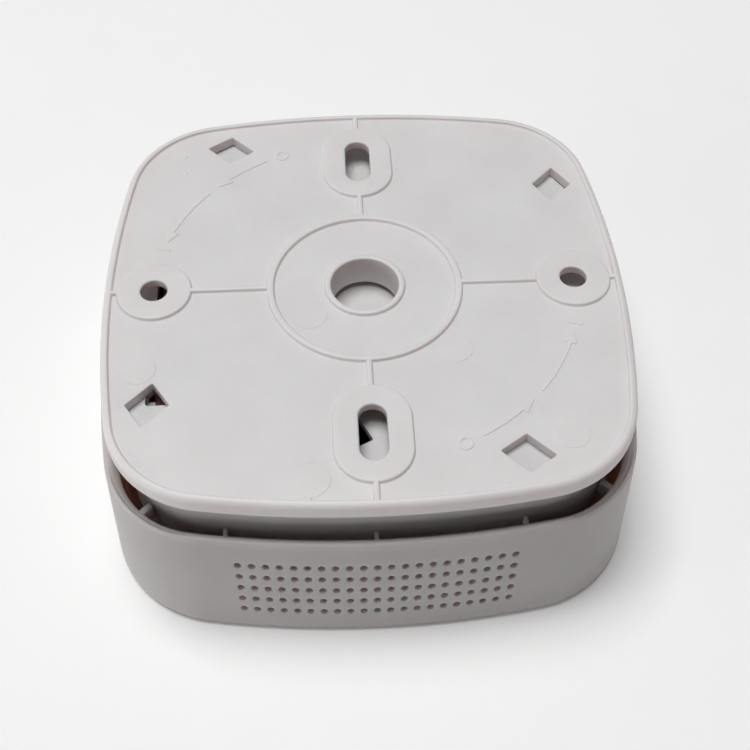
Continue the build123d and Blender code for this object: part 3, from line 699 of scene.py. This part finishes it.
cutters = []
for column in range(GRILLE["columns"]):
    for row in range(GRILLE["rows"]):
        x = (column - (GRILLE["columns"] - 1) / 2) * GRILLE["pitch_x"]
        z = GRILLE["z"] + (row - (GRILLE["rows"] - 1) / 2) * GRILLE["pitch_z"]
        cutters.append(grille_cutter(x, z))
button_hole = [(BUTTON_HOLE_R + 0.5, FACE_Z - 1), (BUTTON_HOLE_R + 0.5, FACE_Z),
               (BUTTON_HOLE_R + 0.15, FACE_Z + 0.15), (BUTTON_HOLE_R, FACE_Z + 0.5),
               (BUTTON_HOLE_R, INNER_FLOOR + 0.001), (TUBE_R, INNER_FLOOR + 0.002),
               (TUBE_R, INNER_FLOOR + 8)]
cutters.append(turned_shell(button_hole, steps=96))
light_hole = [(LED_HOLE_R + 0.3, FACE_Z - 1), (LED_HOLE_R + 0.3, FACE_Z), (LED_HOLE_R + 0.05, FACE_Z + 0.12),
              (LED_HOLE_R, FACE_Z + 0.4), (LED_HOLE_R, INNER_FLOOR + 1)]
cutters.append(turned_shell(light_hole, 0, LED_Y, 32))
pilot = [(CASE_PILOT_R, CASE_PILOT_END), (CASE_PILOT_R, CASE_BOSS_END - 0.3),
         (CASE_PILOT_R + 0.3, CASE_BOSS_END + 1)]
for x, y in CASE_SCREWS:
    cutters.append(turned_shell(pilot, x, y, 24))
combine(cover, join(*cutters), "DIFFERENCE")
dress(cover, cover_white, "front_cover", "alarm_body")

# ---- rear housing --------------------------------------------------------------------------------
base_loop = bowed_square(**BASE)
# the housing's section, from its back over the edge, down the skirt and up the inside to its floor
levels = [(base_loop, 16.0, BASE_Z)]
levels += arc_levels(base_loop, 1.0, BASE_Z - 1.0, 1.0, 90, 0, 5)
levels += arc_levels(base_loop, 0.3, SKIRT_END + 0.3, 0.3, 0, -90, 3)
levels += [(base_loop, SKIRT_WALL - 0.2, SKIRT_END), (base_loop, SKIRT_WALL, SKIRT_END + 0.2)]
levels += [(base_loop, SKIRT_WALL, FLOOR_Z - 0.6)]
levels += [(base_loop, 2.2, FLOOR_Z - 0.15), (base_loop, 2.8, FLOOR_Z), (base_loop, 16.0, FLOOR_Z)]
housing = make("visual_rear_housing", rings(levels))

bay_x0, bay_x1, bay_y0, bay_y1 = BAY
additions = [slab([circle(RECESS_R + RECESS_WALL, 80)], RECESS_Z - RECESS_WALL, FLOOR_Z + 0.5, 0.3)]
bay_box = box_loop(bay_x0 - BAY_WALL, bay_x1 + BAY_WALL, bay_y0 - BAY_WALL, bay_y1 + BAY_WALL, 1.0)
additions.append(slab([bay_box], BAY_END - BAY_WALL, FLOOR_Z + 0.5, 0.5))
for x, y in CASE_SCREWS:
    additions.append(slab([placed(circle(CASE_BOSS_R, 48), x, y)], CASE_BOSS_END, FLOOR_Z + 0.5, 0.3))
for x, y in BOARD_POSTS:
    additions.append(slab([placed(circle(BOARD_POST_R, 40), x, y)], BOARD_TOP, FLOOR_Z + 0.5, 0.3))


def hook_shell(turn):
    """Bayonet hook: a neck on the floor and a pad that reaches back over the plate's ledge."""
    loop = rounded(HOOK_SECTION, [0.3, 0.5, 0.5, 0.3, 0.3, 0.3], 4)
    points, faces = slab([loop], LEDGE_INNER, LEDGE_OUTER - HOOK_GAP, 0.25)
    angle = radians(WINDOW_ANGLE + 90 * turn)
    moved = []
    for t, z, u in points:
        moved.append((u * cos(angle) - t * sin(angle), u * sin(angle) + t * cos(angle), z))
    return moved, faces


for turn in range(4):
    additions.append(hook_shell(turn))
combine(housing, join(*additions), "UNION")

cutters = [slab([box_loop(bay_x0, bay_x1, bay_y0, bay_y1, 0.8)], BAY_END, 2, 0.4)]
recess = [(RECESS_R - 0.4, RECESS_Z), (RECESS_R, RECESS_Z + 0.4), (RECESS_R, BASE_Z - 0.4),
          (RECESS_R + 0.1, BASE_Z - 0.1), (RECESS_R + 0.4, BASE_Z), (RECESS_R + 0.4, 0)]
cutters.append(turned_shell(recess, steps=96))
service = rounded(SERVICE_OPENING, 0.4)
cutters.append(prism(placed(service, *SERVICE_PLACE), FLOOR_Z - 1, BASE_Z + 1))
bore = [(CASE_BORE_R, CASE_BOSS_END - 1), (CASE_BORE_R, CASE_SEAT), (CASE_HEAD_R, CASE_SEAT + 0.001),
        (CASE_HEAD_R, BASE_Z - 0.2), (CASE_HEAD_R + 0.3, BASE_Z + 0.001), (CASE_HEAD_R + 0.3, BASE_Z + 2)]
for x, y in CASE_SCREWS:
    cutters.append(turned_shell(bore, x, y, 40))
pilot = [(BOARD_PILOT_R + 0.25, BOARD_TOP - 1), (BOARD_PILOT_R + 0.25, BOARD_TOP),
         (BOARD_PILOT_R, BOARD_TOP + 0.3), (BOARD_PILOT_R, BOARD_TOP + BOARD_PILOT_DEPTH)]
for x, y in BOARD_POSTS:
    cutters.append(turned_shell(pilot, x, y, 24))
# two holes through the bay's back wall for the battery leads
for x in (bay_x0 + 7, bay_x1 - 7):
    points, faces = turned_shell([(1.3, -(bay_y1 + 2.5)), (1.3, -(bay_y1 - 1))], steps=24)
    cutters.append(([(px + x, -pz, py - 20) for px, py, pz in points], faces))
combine(housing, join(*cutters), "DIFFERENCE")
# the finger over the battery's corner and the gate mark on the recess floor
fingers = [slab([box_loop(-49.4, -47.1, -28.6, -27.2, 0.35)], -7.5, -6.3, 0.3),
           slab([box_loop(2.2, 4.4, 0.2, 0.8, 0.15)], RECESS_Z - MARK_SINK, RECESS_Z + 0.35, 0.12)]
combine(housing, join(*fingers), "UNION")
dress(housing, looks["case_white"], "rear_housing", "alarm_body")

# ---- floor, lights and camera --------------------------------------------------------------------
FLOOR_HALF = 3.0
FLOOR_GLOW = 0.07
AMBIENT_LIGHT = 0.07
BACKGROUND_LIGHT = 0.85
LIGHT_COLOUR = (0.965, 1.0, 1.01)
floor_mesh = bpy.data.meshes.new("floor")
floor_corners = [(-FLOOR_HALF, -FLOOR_HALF), (FLOOR_HALF, -FLOOR_HALF), (FLOOR_HALF, FLOOR_HALF),
                 (-FLOOR_HALF, FLOOR_HALF)]
floor_mesh.from_pydata([(x, y, FACE_Z * MM) for x, y in floor_corners], [], [(0, 1, 2, 3)])
floor = bpy.data.objects.new("floor", floor_mesh)
bpy.context.scene.collection.objects.link(floor)
paper = surface("floor_paper", (0.955, 0.925, 0.915), (0.965, 0.935, 0.925), 0.9, bump=0.0)
paper_shader = paper.node_tree.nodes["Principled BSDF"]
paper_shader.inputs["Emission Color"].default_value = (1, 1, 1, 1)
paper_shader.inputs["Emission Strength"].default_value = FLOOR_GLOW
floor.data.materials.append(paper)

# the background seen by the camera is bright, but little of its light falls on the piece
world = bpy.data.worlds.new("studio")
world.use_nodes = True
sky = world.node_tree.nodes["Background"]
sky.inputs["Color"].default_value = (1, 1, 1, 1)
ray = world.node_tree.nodes.new("ShaderNodeLightPath")
strength = world.node_tree.nodes.new("ShaderNodeMapRange")
strength.inputs["To Min"].default_value = AMBIENT_LIGHT
strength.inputs["To Max"].default_value = BACKGROUND_LIGHT
link(world.node_tree, ray, "Is Camera Ray", strength, "Value")
link(world.node_tree, strength, "Result", sky, "Strength")
bpy.context.scene.world = world


def area_light(name, place, aim, size, power):
    """Square soft box at a place, facing an aim point; power is in watts."""
    data = bpy.data.lights.new(name, "AREA")
    data.size = size
    data.energy = power
    data.color = LIGHT_COLOUR
    lamp = bpy.data.objects.new(name, data)
    bpy.context.scene.collection.objects.link(lamp)
    lamp.location = place
    lamp.rotation_euler = (Vector(place) - Vector(aim)).to_track_quat("Z", "Y").to_euler()


bpy.context.scene.view_settings.view_transform = "Standard"
area_light("key", place=(-0.3, 0.15, 2.15), aim=(0, 0, 0), size=1.1, power=40.0)
area_light("side", place=(-0.78, -0.2, 0.07), aim=(0, -0.02, -0.02), size=0.35, power=1.5)

AZIMUTH = radians(-3.125)
ELEVATION = radians(52.362)
ROLL = radians(0.408)
DISTANCE = 0.253188
TARGET = Vector((0.001055, -0.026885, 0.0))
FOCAL_LENGTH = 56.01
SENSOR_WIDTH = 36.0
away = Vector((sin(AZIMUTH) * cos(ELEVATION), -cos(AZIMUTH) * cos(ELEVATION), sin(ELEVATION)))
right = Vector((0, 0, 1)).cross(away).normalized()
up = away.cross(right)
tilted_right = right * cos(ROLL) + up * sin(ROLL)
tilted_up = up * cos(ROLL) - right * sin(ROLL)
place = TARGET + away * DISTANCE
camera_data = bpy.data.cameras.new("camera")
camera_data.sensor_width = SENSOR_WIDTH
camera_data.lens = FOCAL_LENGTH
camera_data.clip_start = 0.01
camera = bpy.data.objects.new("camera", camera_data)
bpy.context.scene.collection.objects.link(camera)
camera.matrix_world = Matrix((
    (tilted_right.x, tilted_up.x, away.x, place.x),
    (tilted_right.y, tilted_up.y, away.y, place.y),
    (tilted_right.z, tilted_up.z, away.z, place.z),
    (0, 0, 0, 1),
))
bpy.context.scene.camera = camera
